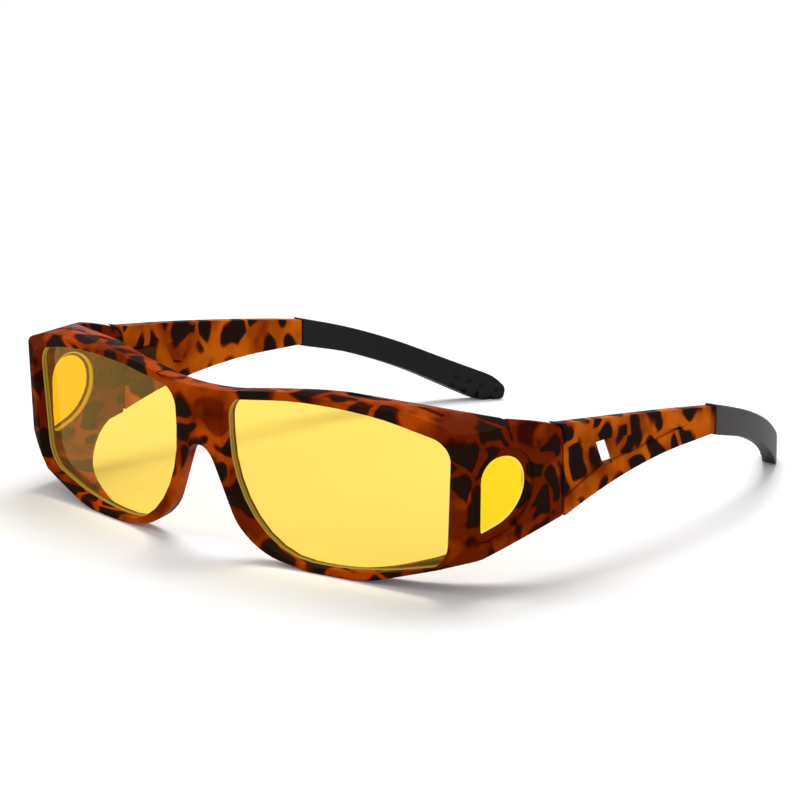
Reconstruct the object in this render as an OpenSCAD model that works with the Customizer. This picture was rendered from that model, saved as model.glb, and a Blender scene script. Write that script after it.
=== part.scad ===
// Wrap-round night driving glasses that fit over a pair of spectacles.
// X runs to the wearer's left, Y runs back along the temples and Z is up. The glasses stand open
// on the undersides of both rims and on both temple tips. Sizes are in millimetres.

/* [Front] */
// Width over the outer faces at the hinges
hinge_w = 145.6; // [142:0.2:150]
// Height of the brow's crest above the table
brow_h = 41.4; // [41:0.1:43]
// Dip of the brow over the nose
bridge_dip = 2.9; // [2.2:0.1:3.2]
// Height of the arch that clears the nose
bridge_under = 25.4; // [22:0.1:28]
// Radius of each half of the face, seen from above
wrap_r = 300; // [280:1:340]
// Angle at which each half turns back from the middle
wrap_angle = 2.6; // [1.5:0.1:3.2]
// Lean of the face, top forward
lean = 3; // [0:0.5:5]
// Depth of the rim, front to back
rim_depth = 4.8; // [4.6:0.1:6]
// Radius of the face's outer corner
corner_r = 1.6; // [0.8:0.1:3]

/* [Side shields] */
// Distance from the bridge back to the temple joint
joint_y = 42; // [41:0.5:46]
// Radius of the shield's bulge, seen from above
side_r = 147; // [140:1:170]
// Wall of the side shield
side_t = 3; // [2.8:0.1:3.6]
// Thickness of the brow shelf
shelf_t = 2.2; // [1.8:0.1:2.8]
// Thickness of the floor behind the lower rim
floor_t = 1.8; // [1.4:0.1:2.4]
// Depth of the step below the brow band
band_step = 0.6; // [0.3:0.1:0.8]
// Width of the brow band at the temple joint
band_h = 4.8; // [4:0.1:5.6]

/* [Lenses] */
// Clear width between the two lens openings
nose_w = 14.6; // [13:0.2:16]
// Width of a lens opening
lens_w = 59.8; // [57:0.2:60.2]
// Width of the rim below a lens opening
lens_z = 1.5; // [1.4:0.1:2]
// Distance from the brow's crest down to a lens opening
lens_top_gap = 1.4; // [1.3:0.1:2]
// Thickness of a lens
lens_t = 1.2; // [1:0.1:1.4]
// Depth of the lens behind the front lip
lens_set = 2.9; // [2.4:0.1:3]
// How far the lens reaches into its groove
lens_bite = 0.5; // [0.4:0.1:0.9]
// Clearance round every pane in its seat
pane_clear = 0.1; // [0.05:0.01:0.2]

/* [Side windows] */
// Distance from the bridge back to the window's recess
window_y = 15.8; // [15:0.1:17]
// Distance from the brow's crest down to the recess
window_top_gap = 9.4; // [8.8:0.1:10]
// Length of the recess
window_l = 17; // [14:0.1:18]
// Height of the recess
window_h = 21.4; // [18:0.1:22]
// Width of the stepped lip round the window
window_lip = 2; // [1.4:0.1:2.4]
// Depth of the lip below the shield's outer face
window_set = 1.3; // [1:0.1:1.5]
// Thickness of a side window
window_t = 0.9; // [0.7:0.1:1.2]

/* [Vents] */
// Number of vents in each half of the brow
vent_n = 3; // [1:1:3]
// Length of a vent
vent_l = 6.4; // [4:0.1:7]
// Width of a vent
vent_w = 1.3; // [1:0.1:1.6]
// Distance between the middles of two vents
vent_pitch = 9.1; // [8:0.1:9.6]

/* [Temples] */
// Distance from the bridge back to the rubber tips
tip_y = 101; // [96:0.5:110]
// Wall of a temple
temple_t = 2.8; // [2.6:0.1:3.2]
// Radius of a temple, seen from above
temple_r = 900; // [700:10:1200]
// Angle at which a temple turns inwards at the joint
toe_in = 2.2; // [1.5:0.1:3]
// Height of a temple at its joint
root_h = 21.2; // [20:0.1:22]
// Height of the temple's top edge where its tip begins
neck_z = 26.7; // [26:0.1:28]
// Height of a temple where its tip begins
neck_h = 6.4; // [5.8:0.1:7.2]
// Clear width of the slanting slot
slot_w = 2.3; // [1.6:0.1:2.8]
// Height of the slanting slot
slot_h = 5.6; // [4:0.1:5.8]
// Angle at which the slot passes through the temple
slot_turn = 42; // [30:1:45]

/* [Temple tips] */
// Length of a rubber tip, front to back
tip_l = 53.2; // [50:0.2:56]
// Radius of the tip's inward bend
tip_r = 100; // [94:1:120]
// How far the rubber stands proud of the temple
tip_proud = 0.4; // [0.2:0.05:0.6]
// Length of the tang inside the rubber
tang_l = 22; // [12:0.5:26]
// Thickness of the tang
tang_t = 1.4; // [1:0.1:1.8]
// Height of the tang
tang_h = 3.4; // [2.4:0.1:4]
// Clearance of the rubber round the tang
tang_clear = 0.05; // [0.02:0.01:0.1]
// Diameter of a dimple in the tip's inner face
dimple_d = 1.1; // [0.8:0.1:1.4]

/* [Hinges] */
// Outer diameter of a hinge barrel
barrel_d = 3.2; // [2.8:0.1:3.4]
// Height of one barrel
barrel_h = 1.5; // [1.2:0.1:1.7]
// Gap between two barrels
barrel_gap = 0.1; // [0.06:0.01:0.14]
// Gap round a barrel, to the other leaf and to the plastic
barrel_room = 0.3; // [0.2:0.05:0.4]
// Height of the middle of the hinge
hinge_z = 24; // [23:0.1:25]
// Depth of the plastic that carries a leaf, from the outer face
root_t = 3.4; // [3.2:0.1:3.8]
// Thickness of a hinge leaf
leaf_t = 0.9; // [0.7:0.1:1.1]
// Length of a hinge leaf
leaf_l = 8; // [7.4:0.1:9]
// Diameter of the hinge screw's shank
pivot_d = 1.4; // [1.2:0.1:1.6]
// Running clearance on the shank's radius
pivot_clear = 0.05; // [0.02:0.01:0.08]
// Diameter of the hinge screw's head
pivot_head_d = 2.5; // [2.2:0.1:2.8]
// Height of a screw head
head_h = 0.6; // [0.5:0.1:0.8]
// Diameter of a leaf screw's shank
leaf_screw_d = 1.2; // [1:0.1:1.4]
// Diameter of a leaf screw's head
leaf_head_d = 2.2; // [1.9:0.1:2.4]
// Length of a leaf screw in the plastic
leaf_screw_l = 1.9; // [1.2:0.1:1.9]
// Distance between the two screws of a leaf
leaf_pitch = 3.6; // [3:0.1:4]
// Gap between the front and a temple at their joint
joint_gap = 0.3; // [0.2:0.05:0.5]

/* [Hidden] */
$fn = 360;

tortoise = "#b4560c";
lens_yellow = [1, 0.87, 0.3, 0.6];
window_yellow = [1, 0.84, 0.2, 0.7];
steel = "silver";
rubber = "#202020";

// Reach of the solids that are only there to cut or be cut
far = 60;
// Share of a corner's cut that the handles of its curve take
handle = 0.55;
// Straight pieces in one rounded corner
corner_steps = 8;
// Clearance of a screw in the hole that it grips
grip_clear = 0.02;
// Width of a screwdriver slot
driver_w = 0.35;

// The face leans about this height
lean_z = 20;
// The brow falls from here back
crest_y = 10.3;
brow_slope = 0.222;
// Its front bevel runs outwards and back, turned by this angle
bevel_turn = 14.3;
bevel_y = -4.4;
bevel_slope = 0.413;
// Its outer end falls off sideways from here, less so towards the back
fall_x = 55.5;
end_slope = 0.367;
end_rise = 3.2;
// Fall of the step below the brow band, on the shield and on the temple
crease_slope = 0.135;
temple_crease_slope = 0.11;

hinge_x = hinge_w / 2;
tip_end = tip_y + tip_l;
lens_in = nose_w / 2;
lens_out = lens_in + lens_w;
lens_top = brow_h - lens_top_gap;
lens_h = lens_top - lens_z;
bridge_top = brow_h - bridge_dip;
window_z = brow_h - window_top_gap - window_h;
// Height of the brow where the temple takes over
brow_z = brow_h - brow_slope * (joint_y - crest_y);
crease_z = brow_z - band_h;
// The origin lies under the middle of the glasses
front_y = -(bridge_top - lean_z) * tan(lean);
mid_y = (front_y + tip_end) / 2;

// Unit vector from a to b
function unit(a, b) = (b - a) / norm(b - a);

// Closed outline through corners [x, y, cut before, cut after], each with its own round
function rounded(c) = [
    for (i = [0:len(c) - 1])
        let (p = [c[i][0], c[i][1]],
            q = c[(i + len(c) - 1) % len(c)],
            r = c[(i + 1) % len(c)],
            a = p + c[i][2] * unit(p, [q[0], q[1]]),
            b = p + c[i][3] * unit(p, [r[0], r[1]]),
            a1 = a + handle * (p - a),
            b1 = b + handle * (p - b))
        each (c[i][2] + c[i][3] == 0 ? [p] : [
            for (k = [0:corner_steps])
                let (t = k / corner_steps, s = 1 - t)
                s * s * s * a + 3 * s * s * t * a1 + 3 * s * t * t * b1 + t * t * t * b
        ])
];

// The same outline, anticlockwise, moved outwards by d
function grown(path, d) = [
    for (i = [0:len(path) - 1])
        let (n = len(path), u = unit(path[(i + n - 1) % n], path[(i + 1) % n]))
        path[i] + d * [u[1], -u[0]]
];

// Crossing, on the side of larger X, of the circles about a and b
function crossing(a, ra, b, rb) =
    let (d = norm(b - a), u = unit(a, b), s = (d * d + ra * ra - rb * rb) / (2 * d))
    a + s * u + sqrt(ra * ra - s * s) * sign(u[1]) * [u[1], -u[0]];

// Outline drawn in X and Z, carried along Y from y0 to y1
module along_y(y0, y1) {
    translate([0, y1, 0]) rotate([90, 0, 0]) linear_extrude(y1 - y0) children();
}

// Outline drawn in Y and Z, carried along X from x0 to x1
module along_x(x0, x1) {
    translate([x0, 0, 0]) rotate([90, 0, 90]) linear_extrude(x1 - x0) children();
}

// Outline drawn across the direction that turns outwards from Y by a, carried along it
module along_turned(a) {
    rotate([0, 0, -a]) along_y(-far * 2, far * 2) children();
}

// Outline drawn in X and Y, carried up and leaning forward with the face
module leaning() {
    translate([0, 0, lean_z]) rotate([lean, 0, 0]) translate([0, 0, -far / 2])
        linear_extrude(far) children();
}

// The left half and its mirror image
module both() {
    children();
    mirror([1, 0, 0]) children();
}

// Everything is drawn from the bridge back, then moved over its origin
module placed() {
    translate([0, -mid_y, 0]) children();
}

module disc(c, r) {
    translate(c) circle(r);
}

// Centres of the arcs of the face and of the shield, left half
face_c = wrap_r * [-sin(wrap_angle), cos(wrap_angle)];
side_c = [hinge_x - side_r, joint_y];
// Centre of the round corner between them, and where it touches each
corner_c = crossing(face_c, wrap_r - corner_r, side_c, side_r - corner_r);
corner_a = face_c + wrap_r * unit(face_c, corner_c);
corner_b = side_c + side_r * unit(side_c, corner_c);

// Strip of the face between two depths behind its front, left half
module face_band(d0, d1) {
    difference() {
        intersection() {
            disc(face_c, wrap_r - d0);
            translate([0, -far / 2]) square([far * 2, far]);
        }
        disc(face_c, wrap_r - d1);
    }
}

// Strip of the left shield between two depths behind its outer face
module side_band(d0, d1) {
    difference() {
        intersection() {
            disc(side_c, side_r - d0);
            translate([far / 2, 0]) square([far, far]);
        }
        disc(side_c, side_r - d1);
    }
}

// Everything behind the face and inside the left shield, with their round corner
module plan_half() {
    difference() {
        intersection() {
            disc(face_c, wrap_r);
            disc(side_c, side_r);
            translate([0, -far / 2]) square([far * 2, far * 1.5]);
        }
        difference() {
            polygon([for (k = [[0, 0], [2, 0], [2, 2], [0, 2]])
                corner_c + k[0] * (corner_a - corner_c) + k[1] * (corner_b - corner_c)]);
            disc(corner_c, corner_r);
        }
    }
}

// The hollow behind the rim and inside the left shield
module plan_hollow() {
    intersection() {
        disc(face_c, wrap_r - rim_depth);
        disc(side_c, side_r - side_t);
        translate([0, -far / 2]) square([far * 2, far * 1.7]);
    }
}

// The underside rises slowly behind the face, and faster from here back along the shield
rise_y = 19;
rise_front = 2.1;
rise_back = 11.2;

// Underside of the front at that depth, outwards from the middle: nose arch, lowest point, rise
low_x = lens_in + 0.547 * lens_w;
low_z = lens_z - 2.55;
under_half = [
    [0, bridge_under, 0, 0],
    [3, bridge_under, 2.4, 3.5],
    [lens_in + 0.082 * lens_w, lens_z + 1.9, 8, 9],
    [low_x, low_z, 10, 10],
    [far * 1.5, low_z + 0.3 * (far * 1.5 - low_x), 0, 0],
    [far * 1.5, far * 1.5, 0, 0],
    [0, far * 1.5, 0, 0]
];

// The arch opens towards the nose by this angle: its outline across that direction
nose_flare = 18;
flare_half = concat(
    [[-far, bridge_under, 0, 0]],
    [for (k = [1:3]) let (c = under_half[k]) [cos(nose_flare) * c[0], c[1], c[2], c[3]]],
    [[far * 2, low_z, 0, 0], [far * 2, far * 2, 0, 0], [-far, far * 2, 0, 0]]
);

// The outer corner, seen along a direction turned out by this angle: a slanting rise, a slow
// bulge and a small round below the brow
corner_turn = 43;
corner_u = (lens_out + 2.6) * cos(corner_turn) - 9 * sin(corner_turn);
corner_half = [
    [-far * 2, -far * 2, 0, 0],
    [corner_u - 22.5, lens_z - 2.8, 0, 0],
    [corner_u - 1.8, lens_z + 2.1, 9.5, 18],
    [corner_u - 0.9, lens_top - 3.1, 3.2, 3.2],
    [corner_u - 50.9, lens_top + 34.9, 0, 0],
    [-far * 2, far * 2, 0, 0]
];

// Space above the front's underside raised by s
module above_under(s) {
    intersection_for (a = [rise_front, rise_back])
        translate([0, rise_y, s]) rotate([a, 0, 0])
            along_y(-far, far) polygon(rounded(under_half));
}

// Space outside the flared arch and within the outer corner
module within_turned() {
    intersection() {
        translate([0, 0, -rise_y * tan(rise_front)]) along_turned(nose_flare)
            polygon(rounded(flare_half));
        along_turned(corner_turn) polygon(rounded(corner_half));
    }
}

// Space above the table and below the front's top lowered by s
module below_top(s) {
    intersection() {
        along_x(0, far * 2) polygon([
            [-far, 0],
            [-far, brow_h - s],
            [crest_y, brow_h - s],
            [far * 2, brow_h - s - brow_slope * (far * 2 - crest_y)],
            [far * 2, 0]
        ]);
        rotate([0, 0, bevel_turn]) along_x(-far, far * 3) polygon([
            [-far * 2, brow_h - s - bevel_slope * (far * 2 + bevel_y)],
            [far * 2, brow_h - s + bevel_slope * (far * 2 - bevel_y)],
            [far * 2, -far * 2],
            [-far * 2, -far * 2]
        ]);
        along_y(-far, far * 2) translate([0, -s]) polygon(rounded([
            [0, -far, 0, 0],
            [far * 2, -far, 0, 0],
            [far * 2, brow_h + 1, 0, 0],
            [24, brow_h, 12, 12],
            [9, bridge_top, 5, 5.9],
            [0, bridge_top, 0, 0]
        ]));
        translate([0, 0, -s]) rotate([end_rise, 0, 0]) along_y(-far, far * 2) polygon(rounded([
            [0, -far, 0, 0],
            [far * 2, -far, 0, 0],
            [far * 2, brow_h - end_slope * (far * 2 - fall_x), 0, 0],
            [fall_x, brow_h, 11, 11],
            [0, brow_h, 0, 0]
        ]));
    }
}

// Outline, in Y and Z, of all that lies ahead of the joint: upright, then drawn forward at the top
function ahead_of_joint() = rounded([
    [-far, -far, 0, 0],
    [joint_y, -far, 0, 0],
    [joint_y, brow_z - 0.2, 4, 3.5],
    [joint_y - far / 4, brow_z - 0.2 + 0.27 * far / 4, 0, 0],
    [joint_y - far / 4, far, 0, 0],
    [-far, far, 0, 0]
]);

// Rear edges of the brow shelf and of the floor, and all that lies behind them, in plan
shelf_edge = [[-1, 4.7, 0, 0], [22, 4.7, 14, 16], [hinge_x, 28.2, 0, 0], [hinge_x, 2 * far, 0, 0],
    [-1, 2 * far, 0, 0]];
floor_edge = [[-1, -1, 0, 0], [20, 0, 0, 0], [64.9, 21.4, 16, 16], [71.5, joint_y, 0, 0],
    [71.5, 2 * far, 0, 0], [-1, 2 * far, 0, 0]];
// Height that parts the shelf's edge from the floor's
split_z = 25;

// Inside of the shell: behind the rim, between floor and shelf, and open at the back
module hollow() {
    intersection() {
        leaning() plan_hollow();
        above_under(floor_t);
        below_top(shelf_t);
    }
    intersection() {
        leaning() intersection() {
            plan_hollow();
            polygon(rounded(shelf_edge));
        }
        translate([-1, -far, split_z]) cube([far * 2, far * 3, far]);
    }
    intersection() {
        leaning() intersection() {
            plan_hollow();
            polygon(rounded(floor_edge));
        }
        translate([-1, -far, -1]) cube([far * 2, far * 3, split_z + 1]);
    }
}

// Lens opening, anticlockwise in X and Z
lens_outline = rounded([
    [lens_in - 0.2, lens_z + 0.2, 26, 22],
    [lens_in + 0.595 * lens_w, lens_z - 0.1, 11, 11],
    [lens_out - 1.6, lens_z + 5.1, 5, 5],
    [lens_out + 0.3, lens_top - 5.5, 4, 4.5],
    [lens_in + 0.552 * lens_w, lens_top + 0.9, 15, 18],
    [lens_in, lens_top - 3.4, 4.5, 4.5]
]);

// Solid with the lens's outline grown by d, between two depths behind the face
module lens_shape(d, d0, d1) {
    intersection() {
        leaning() face_band(d0, d1);
        along_y(-far / 4, far) polygon(grown(lens_outline, d));
    }
}

// Recess of the side window, anticlockwise in Y and Z: a drop with an upright front edge
window_outline = rounded([
    [window_y, window_z, 3.8, 3.8],
    [window_y + window_l - 0.2, window_z + 0.22 * window_h, window_l * 0.56, window_h * 0.36],
    [window_y + window_l, window_z + window_h, window_h * 0.38, window_l * 0.52],
    [window_y, window_z + window_h, window_l * 0.43, window_h * 0.33]
]);

// Solid with the window's outline grown by d, between two depths behind the shield's outer face
module window_shape(d, d0, d1) {
    intersection() {
        leaning() side_band(d0, d1);
        along_x(far / 2, far * 2) polygon(grown(window_outline, d));
    }
}

// Middle of the row of vents, and its turn outwards and back
vent_at = [50.2, 11.4];
vent_turn = 11;

module vents() {
    translate([vent_at[0], vent_at[1], brow_h - shelf_t - 2.6]) rotate([0, 0, vent_turn])
        for (k = [0:vent_n - 1])
            translate([(k - (vent_n - 1) / 2) * vent_pitch, 0, 0])
                linear_extrude(far) polygon(rounded([
                    for (c = [[-1, -1], [1, -1], [1, 1], [-1, 1]])
                        [c[0] * vent_l / 2, c[1] * vent_w / 2, vent_w / 2, vent_w / 2]
                ]));
}

// Hinge, left side: the leaves lie on the inner faces of the shield and of the temple
pad_x = hinge_x - root_t;
barrel_r = barrel_d / 2;
pivot_x = pad_x - barrel_room - barrel_r;
hinge_h = 5 * barrel_h + 4 * barrel_gap;
leaf_y = barrel_r + barrel_room;
pad_h = hinge_h + 3;
pad_l = leaf_y + leaf_l + 1.2;

// Two screw axes of a leaf, on the side of the pivot given by way, ready for shapes along X
module leaf_screw_places(way) {
    for (k = [-1, 1])
        translate([pad_x, joint_y + way * (leaf_y + leaf_l / 2 + k * leaf_pitch / 2), hinge_z])
            rotate([0, 90, 0]) children();
}

// Step below the brow band of the left shield
module shield_step() {
    intersection() {
        leaning() side_band(-1, band_step);
        along_x(far / 2, far * 2) polygon([
            [corner_b[1] + 0.6, -far],
            [joint_y + 5, -far],
            [joint_y + 5, crease_z - crease_slope * 5],
            [corner_b[1] + 0.6, crease_z + crease_slope * (joint_y - corner_b[1] - 0.6)]
        ]);
    }
}

module front_half() {
    difference() {
        intersection() {
            union() {
                difference() {
                    intersection() {
                        leaning() plan_half();
                        above_under(0);
                        below_top(0);
                        within_turned();
                    }
                    hollow();
                }
                translate([pad_x, joint_y - pad_l, hinge_z - pad_h / 2])
                    cube([root_t / 2, pad_l, pad_h]);
            }
            along_x(-1, far * 2) translate([-joint_gap / 2, -joint_gap / 2])
                polygon(ahead_of_joint());
        }
        lens_shape(0, -3, rim_depth + 0.1);
        lens_shape(lens_bite + pane_clear, lens_set, lens_set + lens_t + 2 * pane_clear);
        window_shape(0, -1, window_set);
        window_shape(-window_lip, -1, side_t + 0.5);
        window_shape(-window_lip / 2, side_t - window_t - pane_clear, side_t + 0.5);
        vents();
        shield_step();
        leaf_screw_places(-1)
            translate([0, 0, -1]) cylinder(d = leaf_screw_d + 2 * grip_clear, h = leaf_screw_l + 1.1);
    }
}

module front_frame() color(tortoise) placed() both() front_half();

module lens() color(lens_yellow) placed()
    lens_shape(lens_bite, lens_set + pane_clear, lens_set + pane_clear + lens_t);

module side_window() color(window_yellow) placed()
    window_shape(-window_lip / 2 - pane_clear, side_t - window_t, side_t);

// Flat part of a leaf and its knuckles: numbers 0, 2 and 4 on the front, 1 and 3 on the temple
module leaf(way, first) color(steel) placed() {
    difference() {
        union() {
            along_x(pad_x - leaf_t, pad_x) polygon(rounded([
                for (c = [[0, -1], [1, -1], [1, 1], [0, 1]])
                    [joint_y + way * (leaf_y + c[0] * leaf_l), hinge_z + c[1] * hinge_h / 2,
                        1.2 * c[0], 1.2 * c[0]]
            ]));
            for (k = [first:2:4])
                translate([pivot_x, joint_y, hinge_z - hinge_h / 2 + k * (barrel_h + barrel_gap)]) {
                    cylinder(d = barrel_d, h = barrel_h);
                    translate([barrel_r - leaf_t, way < 0 ? -leaf_y - 1 : 0, 0])
                        cube([leaf_t, leaf_y + 1, barrel_h]);
                }
        }
        translate([pivot_x, joint_y, hinge_z - hinge_h])
            cylinder(r = pivot_d / 2 + pivot_clear, h = 2 * hinge_h);
        leaf_screw_places(way)
            translate([0, 0, -leaf_t - 1]) cylinder(d = leaf_screw_d + 2 * grip_clear, h = leaf_t + 2);
    }
}

// Two cheese-head screws that hold a leaf
module leaf_screws(way) color(steel) placed()
    leaf_screw_places(way) difference() {
        union() {
            translate([0, 0, -leaf_t]) cylinder(d = leaf_screw_d, h = leaf_t + leaf_screw_l);
            translate([0, 0, -leaf_t - head_h]) cylinder(d = leaf_head_d, h = head_h);
        }
        translate([-leaf_head_d, -driver_w / 2, -leaf_t - head_h - 1])
            cube([2 * leaf_head_d, driver_w, 1 + head_h / 2]);
    }

// Screw that pins the five knuckles, with its head on top
module hinge_screw() color(steel) placed()
    translate([pivot_x, joint_y, hinge_z - hinge_h / 2]) difference() {
        union() {
            cylinder(d = pivot_d, h = hinge_h);
            translate([0, 0, hinge_h]) cylinder(d = pivot_head_d, h = head_h);
        }
        translate([-pivot_head_d, -driver_w / 2, hinge_h + head_h / 2])
            cube([2 * pivot_head_d, driver_w, 1]);
    }

// Centre of the temple's arc, its outer corner at the tip, and the centre of the tip's arc
temple_c = [hinge_x, joint_y] - temple_r * [cos(toe_in), sin(toe_in)];
neck = [temple_c[0] + sqrt(temple_r * temple_r - (tip_y - temple_c[1]) * (tip_y - temple_c[1])), tip_y];
tip_c = neck + tip_r * unit(neck, temple_c);

// Upper and lower edges of a temple, in Y and Z
function temple_top(y) =
    let (v = (y - joint_y) / (tip_y - joint_y))
    y < joint_y ? brow_h - brow_slope * (y - crest_y) : brow_z - (brow_z - neck_z) * v * (0.77 + 0.23 * v);
function temple_under(y) =
    let (v = max(0, 1 - (y - joint_y) / (0.8 * (tip_y - joint_y))))
    brow_z - root_h + (neck_z - neck_h - brow_z + root_h) * (1 - v * v);
temple_steps = 20;
temple_ys = [for (k = [0:temple_steps]) joint_y + k / temple_steps * (tip_y - joint_y)];
temple_side = concat(
    [[joint_y - 8, temple_under(joint_y)]],
    [for (y = temple_ys) [y, temple_under(y)]],
    [for (k = [temple_steps:-1:0]) [temple_ys[k], temple_top(temple_ys[k])]],
    [[joint_y - 8, temple_top(joint_y - 8)]]
);

// Strip of the temple, or of the tip, between two radii about its centre
module ring(c, r0, r1) {
    difference() {
        disc(c, r1);
        disc(c, r0);
    }
}

// Scoop between the brow band's step and the ridge that climbs to meet it
scoop_l = 45;
scoop = [
    [joint_y - 8, crease_z + 8 * temple_crease_slope],
    [joint_y - 8, brow_z - root_h + 0.5],
    [joint_y, brow_z - root_h + 4.2],
    [joint_y + 13.5, brow_z - root_h + 9],
    [joint_y + scoop_l, crease_z - scoop_l * temple_crease_slope]
];

// The slot leans back as it falls and slants back as it passes inwards
slot_y = joint_y + 15.2;
slot_z = hinge_z + 0.8;
slot_lean = 1.9;

module temple_slot() {
    translate([hinge_x - root_t / 2, slot_y, slot_z]) rotate([0, 0, -slot_turn])
        along_x(-8, 8) polygon([
            [(-slot_w + slot_lean) / 2, -slot_h / 2],
            [(slot_w + slot_lean) / 2, -slot_h / 2],
            [(slot_w - slot_lean) / 2, slot_h / 2],
            [(-slot_w - slot_lean) / 2, slot_h / 2]
        ]);
}

// Fall of the tang as it runs back
tang_slope = 0.27;

// Tang that the rubber grips, grown by d all round
module tang(d) {
    intersection() {
        linear_extrude(far)
            ring(tip_c, tip_r - (temple_t + tang_t) / 2 - d, tip_r - (temple_t - tang_t) / 2 + d);
        along_x(far / 3, far * 2) polygon([
            for (c = [[-0.5, -1], [tang_l + d, -1], [tang_l + d, 1], [-0.5, 1]])
                [tip_y + c[0], neck_z - neck_h / 2 - c[0] * tang_slope + c[1] * (tang_h / 2 + d)]
        ]);
    }
}

module temple() color(tortoise) placed() {
    difference() {
        intersection() {
            union() {
                linear_extrude(far) ring(temple_c, temple_r - temple_t, temple_r);
                translate([pad_x, joint_y - 8, 0]) cube([root_t / 2, pad_l + 8, far]);
            }
            along_x(far / 3, far * 2) polygon(temple_side);
        }
        along_x(0, far * 2) translate([joint_gap / 2, joint_gap / 2]) polygon(ahead_of_joint());
        intersection() {
            linear_extrude(far) ring(temple_c, temple_r - band_step, temple_r + 3);
            along_x(far / 3, far * 2) polygon(scoop);
        }
        temple_slot();
        leaf_screw_places(1)
            translate([0, 0, -1]) cylinder(d = leaf_screw_d + 2 * grip_clear, h = leaf_screw_l + 1.1);
    }
    tang(0);
}

// Side of a rubber tip, anticlockwise in Y and Z: it droops, then falls to the table
tip_top = neck_z + tip_proud;
tip_under = neck_z - neck_h - tip_proud;
tip_side = rounded([
    [tip_y, tip_under, 0, 0],
    [tip_y + 0.435 * tip_l, tip_under - 5.8, 14, 14],
    [tip_end - 4.6, -0.4, 3, 1.2],
    [tip_end - 0.9, -0.4, 0.8, 2],
    [tip_end, 5.2, 3, 5],
    [tip_y + 0.41 * tip_l, tip_top - 6.2, 12, 12],
    [tip_y, tip_top, 0, 0]
]);

// Dimples in two staggered rows down the end of the tip's inner face
dimple_n = 4;
dimple_deep = 0.5;

module dimples() {
    for (k = [0:dimple_n - 1], s = [-1, 1])
        let (y = tip_end - 11.6 + 2.9 * k + 0.5 * s,
            r = tip_r - temple_t - tip_proud,
            a = asin((y - tip_c[1]) / r))
        translate([tip_c[0] + r * cos(a), y, 5.6 - 1.35 * k + 1.15 * s])
            rotate([0, 90, a]) translate([0, 0, -1]) cylinder(d = dimple_d, h = 1 + dimple_deep, $fn = 24);
}

module temple_tip() color(rubber) placed() {
    difference() {
        intersection() {
            linear_extrude(far) ring(tip_c, tip_r - temple_t - tip_proud, tip_r + tip_proud);
            along_x(far / 3, far * 2) polygon(tip_side);
        }
        tang(tang_clear);
        dimples();
    }
}

module right() {
    mirror([1, 0, 0]) children();
}

front_frame();
lens();  // lens_left
right() lens();  // lens_right
side_window();  // side_window_left
right() side_window();  // side_window_right
leaf(-1, 0);  // front_leaf_left
right() leaf(-1, 0);  // front_leaf_right
both() leaf_screws(-1);  // front_leaf_screws
hinge_screw();  // hinge_screw_left
right() hinge_screw();  // hinge_screw_right
temple();  // temple_left
leaf(1, 1);  // temple_leaf_left
leaf_screws(1);  // temple_leaf_screws_left
temple_tip();  // temple_tip_left
right() temple();  // temple_right
right() leaf(1, 1);  // temple_leaf_right
right() leaf_screws(1);  // temple_leaf_screws_right
right() temple_tip();  // temple_tip_right
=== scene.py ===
"""Night driving glasses that fit over spectacles: tortoiseshell front and temples, yellow lenses,
rubber tips. Metres, +X to the wearer's left, +Y back along the temples, +Z up."""

import math

import bmesh
import bpy
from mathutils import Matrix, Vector


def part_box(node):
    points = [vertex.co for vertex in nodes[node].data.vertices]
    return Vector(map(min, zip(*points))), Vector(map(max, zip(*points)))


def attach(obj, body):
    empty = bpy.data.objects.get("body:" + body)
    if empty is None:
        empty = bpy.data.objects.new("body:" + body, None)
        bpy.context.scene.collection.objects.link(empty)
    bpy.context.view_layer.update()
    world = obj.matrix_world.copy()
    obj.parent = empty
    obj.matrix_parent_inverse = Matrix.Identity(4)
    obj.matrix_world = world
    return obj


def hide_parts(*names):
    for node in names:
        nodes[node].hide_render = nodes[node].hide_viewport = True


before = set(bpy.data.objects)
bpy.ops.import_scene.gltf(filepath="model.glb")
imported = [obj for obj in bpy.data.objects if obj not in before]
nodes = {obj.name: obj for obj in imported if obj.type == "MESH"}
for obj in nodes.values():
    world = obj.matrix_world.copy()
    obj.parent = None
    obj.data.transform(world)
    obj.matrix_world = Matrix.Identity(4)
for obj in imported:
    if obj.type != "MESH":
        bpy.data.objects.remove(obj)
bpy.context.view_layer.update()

# --- Camera -------------------------------------------------------------------------------------
# A long lens, a little above the glasses and to the wearer's left, where the photograph was taken
# from. Its place is measured from the middle of the bridge's front.
mm = 0.001
bridge_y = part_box("front_frame")[0].y + 0.97 * mm
azimuth, elevation = math.radians(42.775), math.radians(13.984)
level = math.cos(elevation)
back = Vector((math.sin(azimuth) * level, -math.cos(azimuth) * level, math.sin(elevation)))
camera_data = bpy.data.cameras.new("camera")
camera_data.sensor_width = 36.0
camera_data.lens = 163.70
camera_data.clip_start, camera_data.clip_end = 0.05, 20.0
camera = bpy.data.objects.new("camera", camera_data)
bpy.context.scene.collection.objects.link(camera)
camera.location = Vector((572.395 * mm, bridge_y - 551.726 * mm, 232.754 * mm))
camera.rotation_mode = "QUATERNION"
camera.rotation_quaternion = (-back).to_track_quat("-Z", "Y")
bpy.context.scene.camera = camera


# --- Studio -------------------------------------------------------------------------------------
# A white table that fades into a white surround, and three large soft lamps: one above and behind,
# one on each side of the camera.
def cleared(owner):
    owner.use_nodes = True
    owner.node_tree.nodes.clear()
    return owner.node_tree


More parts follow.
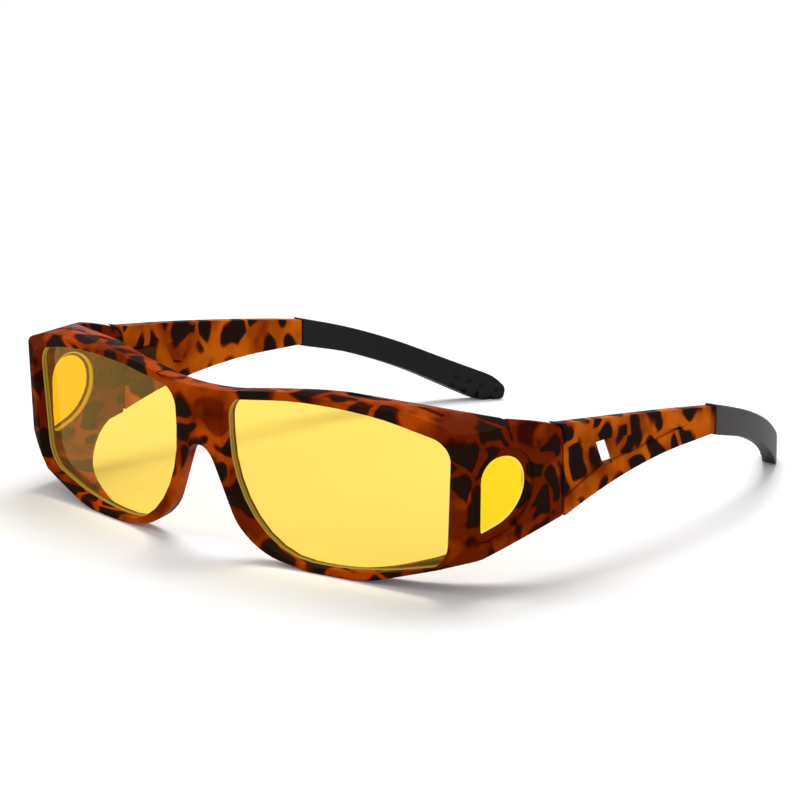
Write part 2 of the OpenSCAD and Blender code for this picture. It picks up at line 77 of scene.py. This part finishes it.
def add(tree, kind, **inputs):
    """A shader node. p_WORD sets a property, iN the input of that number, and any other word the
    input of that name. A socket is linked, and anything else is set."""
    node = tree.nodes.new(kind)
    for key, value in inputs.items():
        if key.startswith("p_"):
            setattr(node, key[2:], value)
            continue
        numbered = key[0] == "i" and key[1:].isdigit()
        slot = node.inputs[int(key[1:]) if numbered else key.replace("_", " ")]
        if isinstance(value, bpy.types.NodeSocket):
            tree.links.new(value, slot)
        else:
            slot.default_value = value
    return node


def lamp(name, place, target, size, power):
    data = bpy.data.lights.new(name, "AREA")
    data.shape, data.size, data.energy = "DISK", size, power
    ob = bpy.data.objects.new(name, data)
    bpy.context.scene.collection.objects.link(ob)
    ob.location = place
    ob.rotation_mode = "QUATERNION"
    ob.rotation_quaternion = (Vector(target) - Vector(place)).to_track_quat("-Z", "Y")


bpy.context.scene.view_settings.view_transform = "Standard"
world = bpy.data.worlds.new("surround")
bpy.context.scene.world = world
tree = cleared(world)
# the camera, gloss and clear plastic see plain white, and the surround lights with half of that
ray = add(tree, "ShaderNodeLightPath")
either = add(tree, "ShaderNodeMath", p_operation="MAXIMUM",
             i0=ray.outputs["Is Camera Ray"], i1=ray.outputs["Is Glossy Ray"])
any_of = add(tree, "ShaderNodeMath", p_operation="MAXIMUM",
             i0=either.outputs[0], i1=ray.outputs["Is Transmission Ray"])
lit = add(tree, "ShaderNodeBackground", Color=(1, 1, 1, 1), Strength=0.5)
seen = add(tree, "ShaderNodeBackground", Color=(1, 1, 1, 1), Strength=1.0)
around = add(tree, "ShaderNodeMixShader", i0=any_of.outputs[0], i1=lit.outputs[0], i2=seen.outputs[0])
add(tree, "ShaderNodeOutputWorld", Surface=around.outputs[0])

lamp("lamp_above", place=(-0.15, 0.32, 0.95), target=(0, 0, 0), size=0.6, power=7.2)
lamp("lamp_left", place=(-0.9, -0.7, 0.6), target=(0, 0, 0.02), size=0.6, power=2.4)
lamp("lamp_right", place=(1.0, -0.5, 0.55), target=(0, 0, 0.02), size=0.6, power=1.1)

bm = bmesh.new()
bmesh.ops.create_grid(bm, x_segments=1, y_segments=1, size=6.0)
table_mesh = bpy.data.meshes.new("table")
bm.to_mesh(table_mesh)
bm.free()
table = bpy.data.objects.new("table", table_mesh)
bpy.context.scene.collection.objects.link(table)
table_finish = bpy.data.materials.new("white table")
tree = cleared(table_finish)
painted = add(tree, "ShaderNodeBsdfPrincipled", Base_Color=(0.96, 0.96, 0.96, 1), Roughness=0.9,
              Specular_IOR_Level=0.0)
# seen by the camera, the table turns to plain white away from the glasses, so no horizon shows
spot = add(tree, "ShaderNodeTexCoord")
far_off = add(tree, "ShaderNodeVectorMath", p_operation="LENGTH", i0=spot.outputs["Object"])
fade = add(tree, "ShaderNodeMapRange", p_interpolation_type="SMOOTHSTEP",
           Value=far_off.outputs["Value"], From_Min=120 * mm, From_Max=420 * mm, To_Min=0.05)
ray = add(tree, "ShaderNodeLightPath")
seen_share = add(tree, "ShaderNodeMath", p_operation="MULTIPLY",
                 i0=ray.outputs["Is Camera Ray"], i1=fade.outputs[0])
white = add(tree, "ShaderNodeEmission", Strength=1.0)
fading = add(tree, "ShaderNodeMixShader",
             i0=seen_share.outputs[0], i1=painted.outputs[0], i2=white.outputs[0])
add(tree, "ShaderNodeOutputMaterial", Surface=fading.outputs[0])
table_mesh.materials.append(table_finish)


# --- Tortoiseshell ------------------------------------------------------------------------------
# Injected plastic for the front and the temples: clear amber with dark brown blotches that run
# through it, satin outside. Blotches are rounded cells between winding amber channels.
def new_finish(name):
    finish = bpy.data.materials.new(name)
    return finish, cleared(finish)


def mixed(tree, share, first, second, blend="MIX"):
    # a colour mix has its two colours on inputs 6 and 7, and its result on output 2
    node = add(tree, "ShaderNodeMix", p_data_type="RGBA", p_blend_type=blend,
               i0=share, i6=first, i7=second)
    return node.outputs[2]


def ramp(tree, share, *stops):
    node = add(tree, "ShaderNodeValToRGB", Fac=share)
    steps = node.color_ramp.elements
    steps.remove(steps[1])
    steps[0].position, steps[0].color = stops[0]
    for place, colour in stops[1:]:
        steps.new(place).color = colour
    return node.outputs[0]


def tortoiseshell(name, seed, stretch, cell, ragged, edge, reach, dark_share, light, deep, sides,
                  glow_share):
    """stretch is the pattern's units in a metre, so that one is about 1 mm, and cell is the width of a
    blotch in them. edge is how far from a channel's middle the amber ends and the dark begins, and
    reach is how far from a cell's middle the dark is full and ends, both as shares of a cell."""
    finish, tree = new_finish(name)
    spot = add(tree, "ShaderNodeTexCoord")
    scaled = add(tree, "ShaderNodeMapping", Vector=spot.outputs["Object"], Scale=stretch, Location=seed)

    # the blotches: cells pushed out of their rows by a slow noise, with a ragged gap between them
    push = (9, 9, 9)
    wander = add(tree, "ShaderNodeTexNoise", Vector=scaled.outputs[0],
                 Scale=0.13, Detail=0.6, Roughness=0.4)
    centred = add(tree, "ShaderNodeVectorMath", p_operation="SUBTRACT",
                  i0=wander.outputs["Color"], i1=(0.5, 0.5, 0.5))
    pushed = add(tree, "ShaderNodeVectorMath", p_operation="MULTIPLY_ADD",
                 i0=centred.outputs[0], i1=push, i2=scaled.outputs[0])
    gaps = add(tree, "ShaderNodeTexVoronoi", p_feature="DISTANCE_TO_EDGE",
               Vector=pushed.outputs[0], Scale=1 / cell)
    flow = add(tree, "ShaderNodeTexNoise", Vector=scaled.outputs[0],
               Scale=0.22, Detail=1.0, Roughness=0.5)
    uneven = add(tree, "ShaderNodeMath", p_operation="MULTIPLY_ADD",
                 i0=flow.outputs[0], i1=ragged, i2=gaps.outputs["Distance"])
    apart = add(tree, "ShaderNodeMapRange", p_interpolation_type="SMOOTHSTEP", Value=uneven.outputs[0],
                From_Min=edge[0] + 0.5 * ragged, From_Max=edge[1] + 0.5 * ragged)
    cells = add(tree, "ShaderNodeTexVoronoi", p_feature="F1", Vector=pushed.outputs[0], Scale=1 / cell)
    near = add(tree, "ShaderNodeMapRange", p_interpolation_type="SMOOTHSTEP",
               Value=cells.outputs["Distance"], From_Min=reach[1], From_Max=reach[0])
    chance = add(tree, "ShaderNodeSeparateColor", Color=cells.outputs["Color"])
    kept = add(tree, "ShaderNodeMapRange", Value=chance.outputs[0],
               From_Min=1 - dark_share - 0.04, From_Max=1 - dark_share + 0.04)
    blot = add(tree, "ShaderNodeMath", p_operation="MULTIPLY", i0=apart.outputs[0], i1=near.outputs[0])
    dark = add(tree, "ShaderNodeMath", p_operation="MULTIPLY", i0=kept.outputs[0], i1=blot.outputs[0])

    # the amber: cloudy, and deeper towards the sides, partly for the thicker plastic there and partly as
    # painted shade for the less light that comes through the side shields
    cloud = add(tree, "ShaderNodeTexNoise", Vector=scaled.outputs[0],
                Scale=0.09, Detail=2.0, Roughness=0.55)
    across = add(tree, "ShaderNodeSeparateXYZ", Vector=spot.outputs["Object"])
    out_from_middle = add(tree, "ShaderNodeMath", p_operation="ABSOLUTE", i0=across.outputs["X"])
    thicker_and_shaded = add(tree, "ShaderNodeMapRange", Value=out_from_middle.outputs[0],
                  From_Min=50 * mm, From_Max=68 * mm, To_Max=-sides)
    depth = add(tree, "ShaderNodeMath", p_operation="ADD", i0=cloud.outputs[0], i1=thicker_and_shaded.outputs[0])
    amber = ramp(tree, depth.outputs[0], (0.36, deep), (0.6, light))

    # a blotch turns the amber red-brown at its edge, and nearly black in its heart
    stain = ramp(tree, dark.outputs[0],
                 (0.0, (1, 1, 1, 1)), (0.45, (0.4, 0.24, 1, 1)), (0.9, (0.1, 0.12, 1, 1)))
    stained = mixed(tree, 1.0, amber, stain, blend="MULTIPLY")
    heart = add(tree, "ShaderNodeMapRange", Value=dark.outputs[0], From_Min=0.5, From_Max=0.95)
    blotched = mixed(tree, heart.outputs[0], stained, (0.021, 0.0095, 0.0065, 1))

    # painted shade: where an ambient-occlusion test finds a nook, the colour is darkened to dark brown,
    # so the steps and grooves are outlined in painted shadow
    nook = add(tree, "ShaderNodeAmbientOcclusion", p_samples=8, Distance=1.0 * mm)
    shaded = add(tree, "ShaderNodeMapRange", Value=nook.outputs["AO"],
                 From_Min=0.75, From_Max=0.4, To_Max=0.85)
    pattern_and_painted_shade = mixed(tree, shaded.outputs[0], blotched, (0.021, 0.0075, 0.004, 1))

    # the satin skin has a fine grain, and some light comes through the plastic
    grain = add(tree, "ShaderNodeTexNoise", Vector=scaled.outputs[0], Scale=9.0, Detail=2.0)
    bump = add(tree, "ShaderNodeBump", Height=grain.outputs[0], Strength=0.06, Distance=0.02 * mm)
    shell = add(tree, "ShaderNodeBsdfPrincipled", Base_Color=pattern_and_painted_shade, Roughness=0.3, IOR=1.04,
                Normal=bump.outputs[0])
    glow = add(tree, "ShaderNodeBsdfTranslucent", Color=pattern_and_painted_shade)
    both = add(tree, "ShaderNodeMixShader", i0=glow_share, i1=shell.outputs[0], i2=glow.outputs[0])
    add(tree, "ShaderNodeOutputMaterial", Surface=both.outputs[0])
    return finish


# sides deepens the amber towards the side shields, partly as painted shade
front_shell = tortoiseshell(
    "tortoiseshell front", seed=(3.0, 1.0, 7.0), stretch=(820, 1000, 1050), cell=7.8, ragged=0.4,
    edge=(0.05, 0.19), reach=(0.43, 0.78), dark_share=0.95,
    light=(0.56, 0.078, 0.0006, 1), deep=(0.19, 0.019, 0.0005, 1), sides=0.18, glow_share=0.25)
temple_shell = tortoiseshell(
    "tortoiseshell temples", seed=(7.0, 3.0, 9.0), stretch=(1000, 1050, 830), cell=8.2, ragged=0.14,
    edge=(0.07, 0.16), reach=(0.40, 0.60), dark_share=0.95,
    light=(0.72, 0.155, 0.004, 1), deep=(0.3, 0.037, 0.001, 1), sides=0.0, glow_share=0.25)


# --- Front --------------------------------------------------------------------------------------
# Rims, bridge, brow shelf and side shields in one moulding. The mouldings are tumbled with pegs before
# they are fitted, so every outer edge is rounded.
def merged(node, weld):
    """A copy of a solid's loose triangles, joined up, with corners closer than weld mm made one."""
    bm = bmesh.new()
    bm.from_mesh(nodes[node].data)
    bmesh.ops.remove_doubles(bm, verts=bm.verts, dist=0.01 * mm)
    bmesh.ops.dissolve_limit(bm, angle_limit=math.radians(0.8), verts=bm.verts, edges=bm.edges)
    bmesh.ops.remove_doubles(bm, verts=bm.verts, dist=weld * mm)
    bmesh.ops.dissolve_degenerate(bm, dist=0.005 * mm, edges=bm.edges)
    return bm


def tumbled(bm, node, radius, body, finish):
    """The moulding that stands for a node, its outer edges rounded to radius mm. Edges bent by less
    than 40 degrees are the facets of a curve, and those past 125 are too thin to round."""
    arrises = [e for e in bm.edges
               if e.is_manifold and e.is_convex and 40 < math.degrees(e.calc_face_angle()) < 125]
    bmesh.ops.bevel(bm, geom=arrises, offset=radius * mm, offset_type="OFFSET", segments=3, profile=0.5,
                    affect="EDGES", clamp_overlap=False, material=-1)
    for face in bm.faces:
        face.smooth = True
    moulding = bpy.data.meshes.new(node + "_moulding")
    bm.to_mesh(moulding)
    bm.free()
    moulding.set_sharp_from_angle(angle=math.radians(38))
    moulding.materials.append(finish)
    piece = bpy.data.objects.new(node + "_moulding", moulding)
    bpy.context.scene.collection.objects.link(piece)
    even = piece.modifiers.new("even shading", "WEIGHTED_NORMAL")
    even.keep_sharp = True
    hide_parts(node)
    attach(piece, body)


bm = merged("front_frame", weld=0.12)
# a thin web closes the rim's wall behind the lens groove at each lower outer corner
web_top = [(59.15, -62.5, 4.5), (59.9, -64.2, 4.69), (62.2, -63.7, 5.35), (62.6, -61.8, 5.55),
           (61.0, -61.6, 5.0)]
for way in (1, -1):
    corners = [bm.verts.new((way * (x + 0.04) * mm, y * mm, (z - drop) * mm))
               for x, y, z in web_top for drop in (0.02, 0.16)]
    bmesh.ops.convex_hull(bm, input=corners, use_existing_faces=False)
tumbled(bm, "front_frame", radius=0.25, body="front", finish=front_shell)


# --- Lenses and side windows --------------------------------------------------------------------
# Clear yellow panes, bowed in front and drop-shaped at the sides, where they are a stronger yellow.
# They are trimmed with a bevelled edge and snapped into grooves in the front.
def dress(node, finish):
    data = nodes[node].data
    data.materials.clear()
    data.materials.append(finish)


def yellow_pane(name, tint, shade, rough, painted_glow_share, edge, painted_edge_share):
    finish, tree = new_finish(name)
    # clear, with a shine on the outer face only
    clear = add(tree, "ShaderNodeBsdfTransparent", Color=tint)
    gloss = add(tree, "ShaderNodeBsdfGlossy", Color=(1.0, 0.68, 0.24, 1), Roughness=rough)
    fresnel = add(tree, "ShaderNodeFresnel", IOR=1.4)
    face = add(tree, "ShaderNodeNewGeometry")
    outside = add(tree, "ShaderNodeMath", p_operation="SUBTRACT", i0=1.0, i1=face.outputs["Backfacing"])
    shine = add(tree, "ShaderNodeMath", p_operation="MULTIPLY",
                i0=fresnel.outputs[0], i1=outside.outputs[0])
    pane = add(tree, "ShaderNodeMixShader", i0=shine.outputs[0], i1=clear.outputs[0], i2=gloss.outputs[0])
    # painted light: the pane gives off a little orange-yellow light of its own, which shows most where it
    # lies over something dark
    painted_glow = add(tree, "ShaderNodeEmission", Color=(1.0, 0.56, 0.13, 1), Strength=1.0)
    pane = add(tree, "ShaderNodeMixShader", i0=painted_glow_share, i1=pane.outputs[0], i2=painted_glow.outputs[0])
    # painted highlight: where an ambient-occlusion test finds the rim close, the pane gives off light in
    # the edge colour, standing in for its bevelled edge catching the light
    hemmed = add(tree, "ShaderNodeAmbientOcclusion", p_samples=8, Distance=0.7 * mm)
    painted_edge_highlight = add(tree, "ShaderNodeMapRange", Value=hemmed.outputs["AO"],
               From_Min=0.95, From_Max=0.6, To_Max=painted_edge_share)
    painted_edge_light = add(tree, "ShaderNodeEmission", Color=edge, Strength=1.0)
    pane = add(tree, "ShaderNodeMixShader",
               i0=painted_edge_highlight.outputs[0], i1=pane.outputs[0], i2=painted_edge_light.outputs[0])
    # the shadow of a pane is pale
    through = add(tree, "ShaderNodeLightPath")
    unshaded = add(tree, "ShaderNodeBsdfTransparent", Color=shade)
    whole = add(tree, "ShaderNodeMixShader", i0=through.outputs["Is Shadow Ray"],
                i1=pane.outputs[0], i2=unshaded.outputs[0])
    add(tree, "ShaderNodeOutputMaterial", Surface=whole.outputs[0])
    return finish


# each pane's finish mixes in a painted glow and a painted edge highlight where it meets its rim
lens_finish = yellow_pane(
    "yellow lens", tint=(1.0, 0.87, 0.375, 1), shade=(1.0, 0.98, 0.92, 1), rough=0.03,
    painted_glow_share=0.04, edge=(1.0, 0.74, 0.12, 1), painted_edge_share=0.24)
window_finish = yellow_pane(
    "yellow window", tint=(1.0, 0.80, 0.1, 1), shade=(1.0, 0.97, 0.85, 1), rough=0.05,
    painted_glow_share=0.0, edge=(1.0, 0.84, 0.15, 1), painted_edge_share=0.75)
for side in ("left", "right"):
    dress("lens_" + side, lens_finish)
    dress("side_window_" + side, window_finish)

# --- Hinges -------------------------------------------------------------------------------------
# Bronzed steel leaves with rolled knuckles, pinned by a screw; cheese-head screws hold them to the
# plastic. Dark enough to go unnoticed against the tortoiseshell.
steel, tree = new_finish("bronzed steel")
spot = add(tree, "ShaderNodeTexCoord")
along = add(tree, "ShaderNodeMapping", Vector=spot.outputs["Object"], Scale=(2500, 2500, 180000))
brushing = add(tree, "ShaderNodeTexNoise", Vector=along.outputs[0], Scale=1.0, Detail=2.0)
rough = add(tree, "ShaderNodeMapRange", Value=brushing.outputs[0], To_Min=0.3, To_Max=0.48)
metal = add(tree, "ShaderNodeBsdfPrincipled", Base_Color=(0.05, 0.017, 0.006, 1), Metallic=1.0,
            Roughness=rough.outputs[0], Specular_Tint=(0.3, 0.12, 0.05, 1))
add(tree, "ShaderNodeOutputMaterial", Surface=metal.outputs[0])
for node in nodes:
    if "leaf" in node or "screw" in node:
        dress(node, steel)
for side in ("left", "right"):
    for leaf, body in (("front_leaf_", "front"), ("temple_leaf_", "temple_" + side)):
        bm = merged(leaf + side, weld=0.02)
        # the end away from the knuckles is rounded off across the leaf
        ends = [v.co.y for v in bm.verts]
        end = min(ends) if body == "front" else max(ends)
        across = [e for e in bm.edges if all(abs(v.co.y - end) < 0.01 * mm for v in e.verts)
                  and abs(e.verts[0].co.x - e.verts[1].co.x) > 0.5 * mm]
        bmesh.ops.bevel(bm, geom=across, offset=3.6 * mm, offset_type="OFFSET", segments=6, profile=0.5,
                        affect="EDGES", clamp_overlap=True, material=-1)
        tumbled(bm, leaf + side, radius=0.1, body=body, finish=steel)

# --- Temples ------------------------------------------------------------------------------------
# Mouldings of the same plastic with a raised top band, a scooped facet below it and a slanting slot.
# Each is screwed to the rear leaf of its hinge and swings in behind the front.
for side in ("left", "right"):
    node = "temple_" + side
    tumbled(merged(node, weld=0.12), node, radius=0.3, body=node, finish=temple_shell)

# --- Temple tips --------------------------------------------------------------------------------
# Black rubber pushed over the temples, with small grip dimples on the inner face. The outer face is
# painted grey as a painted sheen, the inner one stays black.
rubber, tree = new_finish("black rubber")
spot = add(tree, "ShaderNodeTexCoord")
scaled = add(tree, "ShaderNodeMapping", Vector=spot.outputs["Object"], Scale=(1000, 1000, 1000))
grain = add(tree, "ShaderNodeTexNoise", Vector=scaled.outputs[0], Scale=6.0, Detail=3.0)
bump = add(tree, "ShaderNodeBump", Height=grain.outputs[0], Strength=0.12, Distance=0.03 * mm)
rough = add(tree, "ShaderNodeMapRange", Value=grain.outputs[0], To_Min=0.46, To_Max=0.58)
# painted sheen: a face is an outer one, painted grey, where its normal points the way that it lies from
# the middle
at = add(tree, "ShaderNodeSeparateXYZ", Vector=spot.outputs["Object"])
way = add(tree, "ShaderNodeSeparateXYZ", Vector=spot.outputs["Normal"])
outwards = add(tree, "ShaderNodeMath", p_operation="MULTIPLY", i0=at.outputs["X"], i1=way.outputs["X"])
painted_sheen_share = add(tree, "ShaderNodeMapRange", Value=outwards.outputs[0], From_Min=5 * mm, From_Max=30 * mm)
black = mixed(tree, painted_sheen_share.outputs[0], (0.010, 0.0105, 0.0095, 1), (0.058, 0.055, 0.053, 1))
soft = add(tree, "ShaderNodeBsdfPrincipled", Base_Color=black, Roughness=rough.outputs[0],
           Normal=bump.outputs[0], Specular_IOR_Level=0.1)
add(tree, "ShaderNodeOutputMaterial", Surface=soft.outputs[0])
for side in ("left", "right"):
    node = "temple_tip_" + side
    tumbled(merged(node, weld=0.2), node, radius=0.4, body="temple_" + side,
            finish=rubber)
